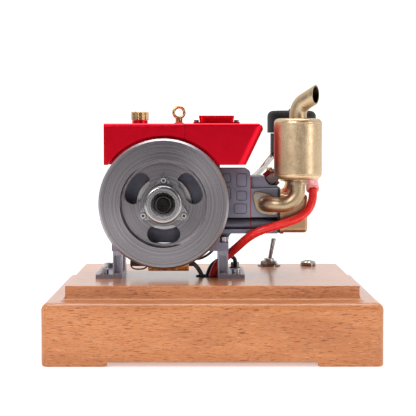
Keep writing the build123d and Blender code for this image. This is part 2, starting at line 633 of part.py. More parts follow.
def rocker(push_y, valve_y):
    """A rocker: a long hub, an arm up to the valve and an arm down to the pushrod."""
    low = min(push_y, valve_y) - 1.0
    high = max(push_y, valve_y) + 1.0
    bar_y(ROCKER_X, ROCKER_Z, 2.1, low, high)
    for y, nose_x, nose_z in ((valve_y, 42.4, CRANK_Z), (push_y, 41.2, PUSHROD_Z)):
        with BuildSketch(facing_front(y + 1.0)) as arm:
            with Locations((nose_x, nose_z)):
                Circle(1.1)
            with Locations((ROCKER_X + 0.6, ROCKER_Z)):
                Circle(1.4)
            make_hull()
        extrude(arm.sketch, amount=2.0)
    bar_y(ROCKER_X, ROCKER_Z, 1.15, low, high, mode=Mode.SUBTRACT)


with BuildPart() as exhaust_rocker:
    rocker(CAM_LOBES_Y[0], VALVES_Y[0])
finish(exhaust_rocker, "exhaust_rocker")

with BuildPart() as intake_rocker:
    rocker(CAM_LOBES_Y[1], VALVES_Y[1])
finish(intake_rocker, "intake_rocker")


def valve(y):
    """A poppet valve with a stepped stem tip."""
    bar_x(y, CRANK_Z, 2.6, 20.7, 21.6)
    bar_x(y, CRANK_Z, 0.9, 21.6, 39.5)
    bar_x(y, CRANK_Z, 0.55, 39.5, 40.4)


def pushrod(y):
    """A pushrod with its lifter foot beside the cam."""
    bar_x(y, PUSHROD_Z, 1.5, -12.6, -5.6)
    bar_x(y, PUSHROD_Z, 0.9, -5.6, 38.6)
    bar_x(y, PUSHROD_Z, 0.55, 38.6, 39.5)


with BuildPart() as exhaust_valve:
    valve(VALVES_Y[0])
finish(exhaust_valve, "exhaust_valve")

with BuildPart() as intake_valve:
    valve(VALVES_Y[1])
finish(intake_valve, "intake_valve")

with BuildPart() as exhaust_pushrod:
    pushrod(CAM_LOBES_Y[0])
finish(exhaust_pushrod, "exhaust_pushrod")

with BuildPart() as intake_pushrod:
    pushrod(CAM_LOBES_Y[1])
finish(intake_pushrod, "intake_pushrod")

# ---------------------------------------------------------------- spark plug
with BuildPart() as spark_plug_shell:
    plug_section(-7.0, 2.0, 7.0)
    plug_section(0.0, 3.4, 1.6)
    with BuildSketch(plug_plane(1.6)):
        RegularPolygon(4.6, 6, rotation=30)
    extrude(amount=4.0)
    plug_section(5.6, 2.9, 2.0)
    plug_section(-7.0, 1.2, 14.6, mode=Mode.SUBTRACT)
finish(spark_plug_shell, "spark_plug_shell")

with BuildPart() as spark_plug_insulator:
    plug_section(-7.0, 1.2, 14.6)
    plug_section(7.6, 1.9, 7.0)
    plug_section(14.6, 1.2, 3.0)
finish(spark_plug_insulator, "spark_plug_insulator")

BOOT_PATH = [(35.6, PLUG_Y, 90.81), (44.6, PLUG_Y, 98.36), (50.44, -6.0, 90.4),
             (50.75, -14.6, 81.3)]
with BuildPart() as plug_boot:
    with BuildLine() as boot_line:
        FilletPolyline(*BOOT_PATH, radius=[4.0, 4.2])
    with BuildSketch(Plane(origin=boot_line.line @ 0, z_dir=boot_line.line % 0)):
        Circle(3.3)
    sweep()
    plug_section(10.4, 1.9, 4.2, mode=Mode.SUBTRACT)
    plug_section(14.6, 1.2, 3.0, mode=Mode.SUBTRACT)
finish(plug_boot, "plug_boot")

# ---------------------------------------------------------------- exhaust
with BuildPart() as exhaust_elbow:
    with BuildSketch(facing_front(-18.0)):
        with Locations((EXHAUST_X, EXHAUST_Z)):
            Circle(5.0)
        with Locations(*FLANGE_SCREWS):
            Circle(2.1)
        make_hull()
    extrude(amount=1.9)
    with BuildLine() as elbow_line:
        FilletPolyline((EXHAUST_X, -19.0, EXHAUST_Z), (EXHAUST_X, MUFFLER_Y, EXHAUST_Z),
                       (MUFFLER_X, MUFFLER_Y, EXHAUST_Z), (MUFFLER_X, MUFFLER_Y, 87.5),
                       radius=[7.4, 7.8])
    with BuildSketch(Plane(origin=(EXHAUST_X, -19.0, EXHAUST_Z), z_dir=(0, -1, 0))):
        Circle(3.7)
    sweep(path=elbow_line.line)
    bar_z(MUFFLER_X, MUFFLER_Y, 4.85, 84.4, 85.5)
    with BuildSketch(Plane(origin=(EXHAUST_X, -19.0, EXHAUST_Z), z_dir=(0, -1, 0))):
        Circle(2.6)
    sweep(path=elbow_line.line, mode=Mode.SUBTRACT)
    bar_y(EXHAUST_X, EXHAUST_Z, 2.6, -20.0, -18.0, mode=Mode.SUBTRACT)
    for x, z in FLANGE_SCREWS:
        bar_y(x, z, 0.9, -19.9, -18.0, mode=Mode.SUBTRACT)
finish(exhaust_elbow, "exhaust_elbow")

with BuildPart() as muffler:
    bar_z(MUFFLER_X, MUFFLER_Y, 11.8, 86.9, 116.7)
    fillet(muffler.edges().filter_by(GeomType.CIRCLE), 2.5)
    bar_z(MUFFLER_X, MUFFLER_Y, 10.5, 88.4, 115.2, mode=Mode.SUBTRACT)
    bar_z(MUFFLER_X, MUFFLER_Y, 3.7, 86.0, 88.4, mode=Mode.SUBTRACT)
    bar_z(MUFFLER_X, MUFFLER_Y, 3.0, 115.2, 117.0, mode=Mode.SUBTRACT)
finish(muffler, "muffler")

OUTLET_END = (52.6, -34.0, 129.6)
with BuildPart() as muffler_outlet:
    with BuildLine() as outlet_line:
        FilletPolyline((MUFFLER_X, MUFFLER_Y, 116.7), (MUFFLER_X, MUFFLER_Y, 122.8),
                       OUTLET_END, radius=7.2)
    with BuildSketch(Plane.XY.offset(116.7)):
        with Locations((MUFFLER_X, MUFFLER_Y)):
            Circle(4.25)
    sweep(path=outlet_line.line)
    with BuildSketch(Plane.XY.offset(116.7)):
        with Locations((MUFFLER_X, MUFFLER_Y)):
            Circle(3.35)
    sweep(path=outlet_line.line, mode=Mode.SUBTRACT)
    # the open end is cut off upright
    with BuildSketch(Plane(origin=(50.4, -32.7, 125.0), x_dir=(0, 0, 1),
                           z_dir=(0.867, -0.5, 0.0))):
        Rectangle(30, 30)
    extrude(amount=20, mode=Mode.SUBTRACT)
finish(muffler_outlet, "muffler_outlet")

# ---------------------------------------------------------------- intake side
with BuildPart() as intake_elbow:
    with BuildSketch(facing_front(13.8)):
        with Locations((EXHAUST_X, INTAKE_Z)):
            SlotOverall(15, 9.5)
    extrude(amount=1.8)
    with BuildLine() as intake_line:
        FilletPolyline((EXHAUST_X, 13.0, INTAKE_Z), (EXHAUST_X, FILTER_Y, INTAKE_Z),
                       (FILTER_X, FILTER_Y, INTAKE_Z), (FILTER_X, FILTER_Y, 84.0),
                       radius=[7.0, 7.0])
    with BuildSketch(Plane(origin=(EXHAUST_X, 13.0, INTAKE_Z), z_dir=(0, 1, 0))):
        Circle(3.6)
    sweep(path=intake_line.line)
    with BuildSketch(Plane(origin=(EXHAUST_X, 13.0, INTAKE_Z), z_dir=(0, 1, 0))):
        Circle(2.6)
    sweep(path=intake_line.line, mode=Mode.SUBTRACT)
    bar_y(EXHAUST_X, INTAKE_Z, 2.6, 12.0, 14.0, mode=Mode.SUBTRACT)
finish(intake_elbow, "intake_elbow")

with BuildPart() as carburettor:
    bar_z(FILTER_X, FILTER_Y, 6.0, 84.0, 95.9)
    slab(36.0, 49.6, 20.4, 29.6, 86.0, 93.0, 1.2)
    bar_x(FILTER_Y, 89.5, 2.2, 33.4, 37.0)
    bar_x(FILTER_Y, 89.5, 1.24, 33.0, 36.6, mode=Mode.SUBTRACT)
    bar_z(FILTER_X, FILTER_Y, 3.0, 84.0, 95.9, mode=Mode.SUBTRACT)
    bar_y(FILTER_X + 5.0, 89.5, 1.08, 20.0, 30.0, mode=Mode.SUBTRACT)
finish(carburettor, "carburettor")

with BuildPart() as throttle_lever:
    bar_y(FILTER_X + 5.0, 89.5, 1.0, 17.2, 29.4)
    with BuildSketch(facing_front(18.6)):
        with Locations((FILTER_X + 5.0, 89.5)):
            Circle(2.0)
        with Locations((FILTER_X + 9.6, 94.1)):
            Circle(1.5)
        make_hull()
        with Locations((FILTER_X + 9.6, 94.1)):
            Circle(0.7, mode=Mode.SUBTRACT)
    extrude(amount=1.0)
finish(throttle_lever, "throttle_lever")

with BuildPart() as mixture_needle:
    bar_x(FILTER_Y, 89.5, 1.2, 31.6, 36.3)
    bar_x(FILTER_Y, 89.5, 2.0, 29.4, 32.4)
    chamfer(mixture_needle.edges().group_by(Axis.X)[0], 0.4)
finish(mixture_needle, "mixture_needle")

BREATHER_END = (32.0, 16.4, 97.6)
BREATHER_WAY = (5.0, 0.6, 6.6)
with BuildPart() as air_filter:
    bar_z(FILTER_X, FILTER_Y, 11.3, 95.9, 109.6)
    fillet(air_filter.edges().group_by(Axis.Z)[0], 1.5)
    bar_z(FILTER_X, FILTER_Y, 9.8, 97.4, 109.6, mode=Mode.SUBTRACT)
    with BuildSketch(Plane(origin=BREATHER_END, z_dir=BREATHER_WAY)):
        Circle(1.2)
    extrude(amount=8.0)
    bar_z(FILTER_X, FILTER_Y, 9.8, 97.4, 109.6, mode=Mode.SUBTRACT)
    bar_z(FILTER_X, FILTER_Y, 3.0, 95.0, 97.4, mode=Mode.SUBTRACT)
finish(air_filter, "air_filter")

with BuildPart() as air_filter_cap:
    bar_z(FILTER_X, FILTER_Y, 12.95, 109.9, 121.6)
    fillet(air_filter_cap.edges().group_by(Axis.Z)[-1], 3.0)
    bar_z(FILTER_X, FILTER_Y, 11.4, 109.9, 119.9, mode=Mode.SUBTRACT)
    bar_z(FILTER_X, FILTER_Y, 1.6, 121.6, 122.5)
finish(air_filter_cap, "air_filter_cap")

# ---------------------------------------------------------------- tanks
with BuildPart() as fuel_tank:
    slab(-52.8, TANK_SEAM, TANK_FRONT, TANK_BACK, CASE_TOP, TANK_TOP)
    front_top = fuel_tank.edges().filter_by(Axis.X).sort_by(Axis.Z)[-2:].sort_by(Axis.Y)[0]
    fillet(front_top, 1.8)
    bar_y(CRANK_X, CRANK_Z, 33.3, TANK_FRONT - 1, -22.4, mode=Mode.SUBTRACT)
    slab(-51.3, TANK_SEAM - 1.5, -20.9, TANK_BACK - 1.5, 95.5, 112.7, mode=Mode.SUBTRACT)
    bar_z(-49.6, -5.0, 1.6, 91.0, CASE_TOP)
    bar_z(-49.6, -5.0, 0.9, 89.6, 91.0)
    bar_z(-36.3, -10.0, 4.0, TANK_TOP, 116.1)
    bar_z(-36.3, -10.0, 2.6, 112.0, 116.1, mode=Mode.SUBTRACT)
    bar_z(-16.6, -10.0, 1.3, 112.7, TANK_TOP, mode=Mode.SUBTRACT)
finish(fuel_tank, "fuel_tank")

with BuildPart() as fuel_cap:
    with BuildSketch(Plane.XY.offset(116.2)):
        with Locations((-36.3, -10.0)):
            Circle(3.9)
            with PolarLocations(3.5, 10):
                Circle(0.9)
    extrude(amount=4.3)
    chamfer(fuel_cap.faces().sort_by(Axis.Z)[-1].edges(), 0.4)
    bar_z(-36.3, -10.0, 2.5, 113.4, 116.2)
finish(fuel_cap, "fuel_cap")

with BuildPart() as eye_bolt:
    bar_z(-16.6, -10.0, 1.3, 112.7, TANK_TOP)
    bar_z(-16.6, -10.0, 1.8, TANK_TOP + 0.6, 117.6)
    bar_z(-16.6, -10.0, 1.3, TANK_TOP, TANK_TOP + 0.6)
    bar_z(-16.6, -10.0, 2.3, TANK_TOP, TANK_TOP + 0.6)
    with BuildSketch(Plane(origin=(-16.6, -10.0, 122.675), z_dir=(1, 0, 0))):
        Circle(0.78)
    revolve(axis=Axis((-16.6, -10.0, 120.0), (0, -1, 0)))
finish(eye_bolt, "eye_bolt")

FILLER = (-6.5, 11.1, -19.0, -4.0)
with BuildPart() as water_hopper:
    profile_y([(TANK_SEAM, CASE_TOP), (16.7, CASE_TOP), (25.0, 111.4), (24.4, 113.2),
               (22.6, TANK_TOP), (TANK_SEAM, TANK_TOP)], TANK_FRONT, TANK_BACK)
    slant = water_hopper.edges().filter_by(
        lambda e: e.center().Y < TANK_FRONT + 0.1 and e.center().X > 20 and e.center().Z < 110)
    fillet(slant, 4.0)
    front_top = water_hopper.edges().filter_by(
        lambda e: e.center().Y < TANK_FRONT + 0.1 and e.center().Z > TANK_TOP - 0.1)
    fillet(front_top, 1.2)
    bar_y(CRANK_X, CRANK_Z, 33.3, TANK_FRONT - 1, -22.4, mode=Mode.SUBTRACT)
    slab(TANK_SEAM + 1.5, 14.6, -20.9, TANK_BACK - 1.5, 95.5, 112.7, mode=Mode.SUBTRACT)
    slab(FILLER[0] + 1.2, FILLER[1] - 1.2, FILLER[2] + 1.2, FILLER[3] - 1.2, 112.0, TANK_TOP,
         1.0, mode=Mode.SUBTRACT)
    for x, y in FILLER_SCREWS:
        bar_z(x, y, 0.8, 112.7, TANK_TOP, mode=Mode.SUBTRACT)
finish(water_hopper, "water_hopper")

with BuildPart() as filler_neck:
    slab(-9.3, 13.9, FILLER[2] - 1.2, FILLER[3] + 1.2, TANK_TOP, 115.1, 1.0)
    with BuildSketch(Plane.XY.offset(115.1)):
        with Locations((2.3, -11.5)):
            RectangleRounded(16.8, 14.2, 1.6)
    with BuildSketch(Plane.XY.offset(118.3)):
        with Locations((2.3, -11.5)):
            RectangleRounded(17.8, 15.2, 1.8)
    loft()
    slab(FILLER[0] + 1.2, FILLER[1] - 1.2, FILLER[2] + 1.2, FILLER[3] - 1.2, TANK_TOP, 118.3,
         1.0, mode=Mode.SUBTRACT)
    for x, y in FILLER_SCREWS:
        bar_z(x, y, 0.8, TANK_TOP, 115.1, mode=Mode.SUBTRACT)
finish(filler_neck, "filler_neck")

with BuildPart() as small_screws:
    for x, y in FILLER_SCREWS:
        bar_z(x, y, 1.25, 115.1, 116.2)
        bar_z(x, y, 0.8, 112.7, 115.1)
    for x, z in FLANGE_SCREWS:
        plane = Plane(origin=(x, -19.9, z), x_dir=(1, 0, 0), z_dir=(0, -1, 0))
        socket_screw(plane, 1.3, 1.1, 0.9, 1.9, 0.7)
    for x, z in REAR_SCREWS:
        bar_y(x, z, 1.45, 19.0, 20.6)
        bar_y(x, z, 0.9, CASE_BACK, 19.0)
    for x, y in COVER_SCREWS:
        bar_z(x, y, 2.2, 1.0, 2.1)
        bar_z(x, y, 1.0, 2.1, 12.0)
finish(small_screws, "small_screws")

# ---------------------------------------------------------------- ignition coil
with BuildPart() as coil_core:
    slab(-41.0, -9.0, -17.5, -13.5, 42.8, 47.2)
    slab(-41.0, -38.0, -17.5, -13.5, 47.2, LUG_BOTTOM)
    slab(-11.2, -9.0, -17.5, -13.5, 47.2, CASE_BOTTOM)
finish(coil_core, "coil_core")

with BuildPart() as coil_winding:
    slab(-31.9, -11.6, -20.0, -10.6, 40.4, 49.6)
    fillet(coil_winding.edges().filter_by(Axis.X), 2.6)
    slab(-31.9, -11.6, -17.5, -13.5, 42.8, 47.2, mode=Mode.SUBTRACT)
finish(coil_winding, "coil_winding")


# ---------------------------------------------------------------- leads and hose
def tube(points, radius):
    with BuildLine() as route:
        FilletPolyline(*points, radius=corner_radii(points))
    with BuildSketch(Plane(origin=route.line @ 0, z_dir=route.line % 0)) as section:
        Circle(radius)
    sweep(sections=section.sketch, path=route.line)


HT_ROUTE = [(-0.8, -11.6, 26.0), (-0.5, -11.0, 40.5), (10.5, -9.9, 49.5), (20.5, -21.3, 60.0),
            (34.0, -21.6, 64.0), (46.0, -21.3, 68.0), (51.4, -18.5, 76.6), (50.8, -11.5, 84.5)]
with BuildPart() as ht_lead:
    tube(HT_ROUTE, 2.15)
check_tube("ht_lead", HT_ROUTE, 2.15, ht_lead.part)
finish(ht_lead, "ht_lead")

COIL_ROUTE = [(-11.6, -12.0, 45.2), (-3.2, -13.2, 40.6), (-4.2, -13.5, 28.0)]
with BuildPart() as coil_lead:
    tube(COIL_ROUTE, 1.1)
check_tube("coil_lead", COIL_ROUTE, 1.1, coil_lead.part)
finish(coil_lead, "coil_lead")

GROUND_ROUTE = [(-3.4, -8.3, 26.5), (-3.2, -7.6, 40.6), (6.8, -5.4, 47.0), (12.7, 0.2, 45.6),
                (12.3, 5.5, 40.4)]
with BuildPart() as ground_lead:
    tube(GROUND_ROUTE, 1.05)
check_tube("ground_lead", GROUND_ROUTE, 1.05, ground_lead.part)
finish(ground_lead, "ground_lead")

with BuildPart() as ground_terminal:
    bar_z(12.3, 11.8, 2.9, 39.0, 39.5)
    slab(11.2, 13.4, 8.6, 10.0, 39.0, 39.5)
    slab(11.2, 13.4, 5.9, 8.7, 39.0, 39.5)
    slab(11.2, 13.4, 5.9, 6.4, 39.0, 41.8)
    bar_z(12.3, 11.8, 1.25, 39.0, 39.5, mode=Mode.SUBTRACT)
finish(ground_terminal, "ground_terminal")

BREATHER_ROUTE = [(10.8, 15.0, 83.5), (20.5, 15.3, 84.5), (27.0, 15.8, 91.0), BREATHER_END]
with BuildPart() as breather_hose:
    tube(BREATHER_ROUTE, 1.55)
check_tube("breather_hose", BREATHER_ROUTE, 1.55, breather_hose.part)
finish(breather_hose, "breather_hose")
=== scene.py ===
import json
import math

import bmesh
import bpy
from mathutils import Matrix, Vector


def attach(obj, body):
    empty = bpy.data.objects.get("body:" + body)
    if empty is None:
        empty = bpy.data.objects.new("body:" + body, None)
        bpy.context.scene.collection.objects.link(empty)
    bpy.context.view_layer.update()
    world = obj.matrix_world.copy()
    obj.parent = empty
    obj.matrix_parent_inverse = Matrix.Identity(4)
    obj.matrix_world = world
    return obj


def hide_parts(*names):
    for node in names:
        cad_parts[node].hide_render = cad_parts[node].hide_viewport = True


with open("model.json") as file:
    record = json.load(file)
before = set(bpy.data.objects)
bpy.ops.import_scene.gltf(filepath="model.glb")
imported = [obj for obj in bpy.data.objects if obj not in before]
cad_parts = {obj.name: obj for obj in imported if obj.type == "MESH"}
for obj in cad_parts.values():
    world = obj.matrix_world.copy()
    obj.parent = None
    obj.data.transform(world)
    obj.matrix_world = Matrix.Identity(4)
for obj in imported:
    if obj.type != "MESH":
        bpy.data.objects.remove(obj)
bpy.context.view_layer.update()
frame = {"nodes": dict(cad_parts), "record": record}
scene = bpy.context.scene

NODES = frame["nodes"]
SLOTS = {part["node"]: part["material_slot"] for part in frame["record"]["subparts"]}
JOINTS = {joint["name"]: joint for joint in frame["record"]["behaviour"]["joints"]}


def mm(*place):
    """A place given in millimetres, as a vector in metres."""
    return Vector([v / 1000 for v in place])


def extent(name, axis):
    """The lowest and highest place of a node along an axis, in metres."""
    along = [vertex.co[axis] for vertex in NODES[name].data.vertices]
    return min(along), max(along)


X, Z = 0, 2
CRANK = Vector(JOINTS["crank_spin"]["pos_m"])      # a point on the crank's axis, which lies along Y
TANK_SEAM = extent("fuel_tank", X)[1]              # the tank meets the hopper here
MUFFLER_BOTTOM, MUFFLER_TOP = extent("muffler", Z)
MUFFLER_SEAM = 0.0025                              # from each end of the can to its pressed seam
OUTLET_MOUTH = mm(52.6, -34.0, 129.6)              # middle of the outlet pipe's open end
OUTLET_WAY = Vector((10.4, -6.0, 6.8)).normalized()
WEB_RADIUS = (0.0200, 0.0206)                      # where the flywheel's web turns into the wall round it
HUB_BORE = (0.0032, 0.0042)
LOBE_CIRCLE = 0.0115                               # radius on which the three lobe screws stand
LOBE_ANGLES = (90, 210, 330)
BOLT_RADIUS = (0.0055, 0.0065)                     # the centre bolt ends here and the lobe screws start


# ---------------------------------------------------------------- camera
CAMERA_PLACE = mm(-4.0, -633.5, 107.6)
LOOKS_DOWN = 3.3                                   # degrees
TURNED_RIGHT = 0.19

camera = bpy.data.objects.new("camera", bpy.data.cameras.new("camera"))
scene.collection.objects.link(camera)
camera.data.sensor_width = 36.0
camera.data.lens = 106.5
camera.data.clip_start = 0.01
camera.data.clip_end = 20.0
camera.location = CAMERA_PLACE
camera.rotation_euler = (math.radians(90 - LOOKS_DOWN), 0.0, math.radians(-TURNED_RIGHT))
scene.camera = camera


# ---------------------------------------------------------------- material tools
class Graph:
    """One node material: the Principled shader, its coordinates and short ways to add nodes."""

    def __init__(self, name, metallic=0.0, roughness=0.5, colour=(0.5, 0.5, 0.5), specular=0.5):
        self.mat = bpy.data.materials.new(name)
        self.mat.use_nodes = True
        self.tree = self.mat.node_tree
        self.shader = self.tree.nodes["Principled BSDF"]
        self.set("Base Color", (*colour, 1.0))
        self.set("Metallic", metallic)
        self.set("Roughness", roughness)
        self.set("Specular IOR Level", specular)
        self.coords = self.tree.nodes.new("ShaderNodeTexCoord").outputs["Object"]
        self.normal = None

    def set(self, socket, value):
        self.shader.inputs[socket].default_value = value

    def node(self, kind, **props):
        n = self.tree.nodes.new("ShaderNode" + kind)
        for key, value in props.items():
            setattr(n, key, value)
        return n

    def join(self, a, b):
        self.tree.links.new(a, b)

    def scaled(self, scale, rotation=(0, 0, 0)):
        """The object's coordinates, stretched and turned."""
        m = self.node("Mapping")
        m.inputs["Scale"].default_value = scale
        m.inputs["Rotation"].default_value = rotation
        self.join(self.coords, m.inputs["Vector"])
        return m.outputs["Vector"]

    def noise(self, scale=1.0, detail=3.0, rough=0.55, vector=None, distortion=0.0):
        n = self.node("TexNoise")
        n.inputs["Scale"].default_value = scale
        n.inputs["Detail"].default_value = detail
        n.inputs["Roughness"].default_value = rough
        n.inputs["Distortion"].default_value = distortion
        self.join(vector or self.coords, n.inputs["Vector"])
        return n.outputs["Fac"]

    def rings(self, radius, pitch, detail):
        """Noise that changes along a radius only, about once every pitch."""
        n = self.node("TexNoise", noise_dimensions="1D")
        self.join(self.maths("DIVIDE", radius, pitch), n.inputs["W"])
        n.inputs["Scale"].default_value = 1.0
        n.inputs["Detail"].default_value = detail
        return n.outputs["Fac"]

    def ramp(self, fac, *stops):
        r = self.node("ValToRGB")
        e = r.color_ramp.elements
        while len(e) < len(stops):
            e.new(0.5)
        for spot, (at, colour) in zip(e, stops):
            spot.position = at
            spot.color = (*colour, 1.0)
        self.join(fac, r.inputs["Fac"])
        return r.outputs["Color"]

    def level(self, fac, low, high, out_low=0.0, out_high=1.0):
        """Carry the range from low to high over to another range, and hold it at both ends."""
        m = self.node("MapRange")
        for i, v in enumerate((low, high, out_low, out_high)):
            m.inputs[i + 1].default_value = v
        self.join(fac, m.inputs[0])
        return m.outputs[0]

    def maths(self, operation, a, b=0.0):
        m = self.node("Math", operation=operation)
        for i, v in enumerate((a, b)):
            if isinstance(v, (int, float)):
                m.inputs[i].default_value = v
            else:
                self.join(v, m.inputs[i])
        return m.outputs[0]

    def vector(self, operation, a, b=None):
        """The outputs of a vector operation on a source and, where it takes two, a fixed vector."""
        v = self.node("VectorMath", operation=operation)
        self.join(a, v.inputs[0])
        if b is not None:
            v.inputs[1].default_value = b
        return v.outputs

    def split(self, source):
        """The X, Y and Z of a vector."""
        s = self.node("SeparateXYZ")
        self.join(source, s.inputs[0])
        return s.outputs

    def facing(self):
        """The X, Y and Z of the direction that the surface faces."""
        return self.split(self.node("NewGeometry").outputs["Normal"])

    def off(self, value, place):
        """How far a value is from a place, either way."""
        return self.maths("ABSOLUTE", self.maths("SUBTRACT", value, place))

    def mix(self, fac, a, b):
        """From the colour of source a to that of b, which is a source or a fixed colour."""
        m = self.node("Mix", data_type="RGBA", blend_type="MIX")
        self.join(fac, m.inputs[0])
        self.join(a, m.inputs[6])
        if isinstance(b, tuple):
            m.inputs[7].default_value = (*b, 1.0)
        else:
            self.join(b, m.inputs[7])
        return m.outputs[2]

    def colour(self, source):
        self.join(source, self.shader.inputs["Base Color"])

    def tone(self):
        """The source that colours the shader so far."""
        return self.shader.inputs["Base Color"].links[0].from_socket

    def rough(self, source, low, high):
        """Roughness that drifts from low to high as the source goes from 0.3 to 0.7."""
        self.join(self.level(source, 0.3, 0.7, low, high), self.shader.inputs["Roughness"])

    def bump(self, height, strength=0.3, distance=0.0002):
        """Add a relief on top of those added before."""
        b = self.node("Bump")
        b.inputs["Strength"].default_value = strength
        b.inputs["Distance"].default_value = distance
        self.join(height, b.inputs["Height"])
        if self.normal is not None:
            self.join(self.normal, b.inputs["Normal"])
        self.normal = b.outputs["Normal"]
        self.join(self.normal, self.shader.inputs["Normal"])

    def coat(self, weight, roughness):
        self.set("Coat Weight", weight)
        self.set("Coat Roughness", roughness)

    def painted_crease_shade(self, distance, low, high, darkest):
        """Painted shade: dark where surfaces close in on each other within a distance, where shadow falls.
        """
        near = self.node("AmbientOcclusion", samples=8)
        near.inputs["Distance"].default_value = distance
        return self.level(near.outputs["AO"], low, high, darkest, 1.0)

    def darken(self, colour, factor):
        """Multiply a colour by a grey factor."""
        scaled = self.node("VectorMath", operation="SCALE")
        self.join(colour, scaled.inputs[0])
        self.join(factor, scaled.inputs["Scale"])
        return scaled.outputs[0]


def metal(name, dark, light, roughness, spread=0.08, grain=0.06, speck=900.0):
    """Machined or cast metal: tone that drifts, roughness that drifts, and a fine surface grain."""
    g = Graph(name, metallic=1.0, roughness=roughness)
    g.colour(g.ramp(g.noise(70.0, 4.0), (0.3, dark), (0.7, light)))
    g.rough(g.noise(260.0, 3.0), roughness - spread, roughness + spread)
    g.bump(g.noise(speck, 2.0), grain, 0.0001)
    return g


def about(g, centre):
    """Distance from the line along Y through a centre, in metres, and the unit direction round it."""
    from_centre = g.vector("SUBTRACT", g.coords, centre)[0]
    flat = g.vector("MULTIPLY", from_centre, (1, 0, 1))[0]
    around = g.vector("CROSS_PRODUCT", flat, (0, 1, 0))[0]
    return g.vector("LENGTH", flat)["Value"], g.vector("NORMALIZE", around)[0]


def turned(name, dark, light, roughness, pitch, groove, lean):
    """Metal turned on the crank's axis: fine rings and a highlight that fans round them."""
    g = Graph(name, metallic=1.0, roughness=roughness)
    radius, around = about(g, CRANK)
    fine = g.rings(radius, pitch, 3.0)
    broad = g.rings(radius, pitch * 4, 2.0)
    both = g.maths("ADD", g.maths("MULTIPLY", fine, 0.7), g.maths("MULTIPLY", broad, 0.3))
    g.colour(g.ramp(both, (0.34, dark), (0.66, light)))
    g.rough(fine, roughness - 0.05, roughness + 0.07)
    g.bump(fine, groove, 0.00006)
    g.bump(broad, groove * 0.3, 0.00008)
    g.set("Anisotropic", lean)
    g.join(around, g.shader.inputs["Tangent"])
    return g


# ---------------------------------------------------------------- materials
def make_beech():
    """Lacquered beech whose grain runs along X, with dark ray flecks in two sizes and some pale ones."""
    g = Graph("beech", roughness=0.42, specular=0.35)
    broad = g.noise(1.0, 4.0, 0.6, g.scaled((14.0, 70.0, 70.0)), 0.6)
    tone = g.ramp(broad, (0.30, (0.49, 0.172, 0.058)), (0.52, (0.60, 0.226, 0.080)),
                  (0.72, (0.67, 0.272, 0.106)))
    fine = g.noise(1.0, 3.0, 0.6, g.scaled((70.0, 1100.0, 1100.0)))
    tone = g.mix(g.level(fine, 0.35, 0.75, 0.0, 0.35), tone, (0.38, 0.120, 0.038))
    for scale, turn, low, strength in (((230.0, 2700.0, 2700.0), 0.05, 0.600, 0.95),
                                       ((360.0, 3600.0, 3600.0), -0.03, 0.615, 0.90)):
        ray = g.noise(1.0, 2.0, 0.5, g.scaled(scale, (0.0, turn, 0.0)))
        tone = g.mix(g.level(ray, low, low + 0.07, 0.0, strength), tone, (0.225, 0.058, 0.018))
    pale = g.noise(1.0, 2.0, 0.5, g.scaled((230.0, 1800.0, 1800.0), (0.0, 0.02, 0.0)))
    g.colour(g.mix(g.level(pale, 0.60, 0.72, 0.0, 0.35), tone, (0.76, 0.43, 0.24)))
    g.rough(broad, 0.36, 0.48)
    g.bump(fine, 0.10, 0.0001)
    # painted sheen: the coat is heaviest on the faces that look up and lightest on the sides, set by the
    # direction each face looks
    g.join(g.level(g.facing()["Z"], 0.3, 0.9, 0.20, 0.75), g.shader.inputs["Coat Weight"])
    g.set("Coat Roughness", 0.18)
    return g.mat


def make_red():
    """Satin red anodising, with the joint between tank and hopper as a fine groove."""
    g = Graph("red_anodised", metallic=0.9, roughness=0.3)
    satin = g.noise(900.0, 3.0)
    g.colour(g.ramp(g.noise(45.0, 3.0), (0.3, (0.70, 0.0009, 0.0145)), (0.7, (0.81, 0.0015, 0.0205))))
    g.rough(satin, 0.28, 0.36)
    g.bump(satin, 0.05, 0.00005)
    g.bump(g.level(g.off(g.split(g.coords)["X"], TANK_SEAM), 0.0, 0.00045), 0.8, 0.0006)
    g.coat(0.12, 0.2)
    return g.mat


def make_cast_grey():
    """Painted castings, with painted shade in the angles where faces meet and under the parts beside them.
    """
    g = Graph("cast_grey", metallic=0.55, roughness=0.5)
    tone = g.ramp(g.noise(120.0, 5.0, 0.65), (0.3, (0.205, 0.196, 0.255)), (0.7, (0.295, 0.283, 0.358)))
    corner_shade = g.painted_crease_shade(0.0012, 0.35, 0.95, 0.45)
    neighbour_shade = g.painted_crease_shade(0.016, 0.10, 0.85, 0.35)
    # painted shade from both factors darkens the casting's tone
    g.colour(g.darken(tone, g.maths("MULTIPLY", corner_shade, neighbour_shade)))
    g.rough(g.noise(500.0, 3.0), 0.42, 0.58)
    g.bump(g.noise(1500.0, 3.0, 0.7), 0.25, 0.0001)
    return g.mat


def make_foot_metal():
    """Angle brackets, brushed upright."""
    g = Graph("foot_metal", metallic=0.8, roughness=0.38)
    brushed = g.noise(1.0, 3.0, 0.6, g.scaled((2400.0, 2400.0, 120.0)))
    g.colour(g.ramp(brushed, (0.3, (0.25, 0.24, 0.29)), (0.7, (0.37, 0.36, 0.42))))
    g.rough(brushed, 0.32, 0.46)
    g.bump(brushed, 0.12, 0.00006)
    return g.mat


def outlet_bore_shade(g):
    """Painted shade, black down the bore of the outlet: close to its axis, and not far back from its mouth.
    """
    from_mouth = g.vector("SUBTRACT", g.coords, OUTLET_MOUTH)[0]
    along = g.vector("DOT_PRODUCT", from_mouth, OUTLET_WAY)["Value"]
    across = g.vector("LENGTH", g.vector("CROSS_PRODUCT", from_mouth, OUTLET_WAY)[0])["Value"]
    return g.maths("MAXIMUM", g.level(across, 0.0035, 0.0039, 0.05, 1.0),
                   g.level(along, -0.010, -0.007, 1.0, 0.0))


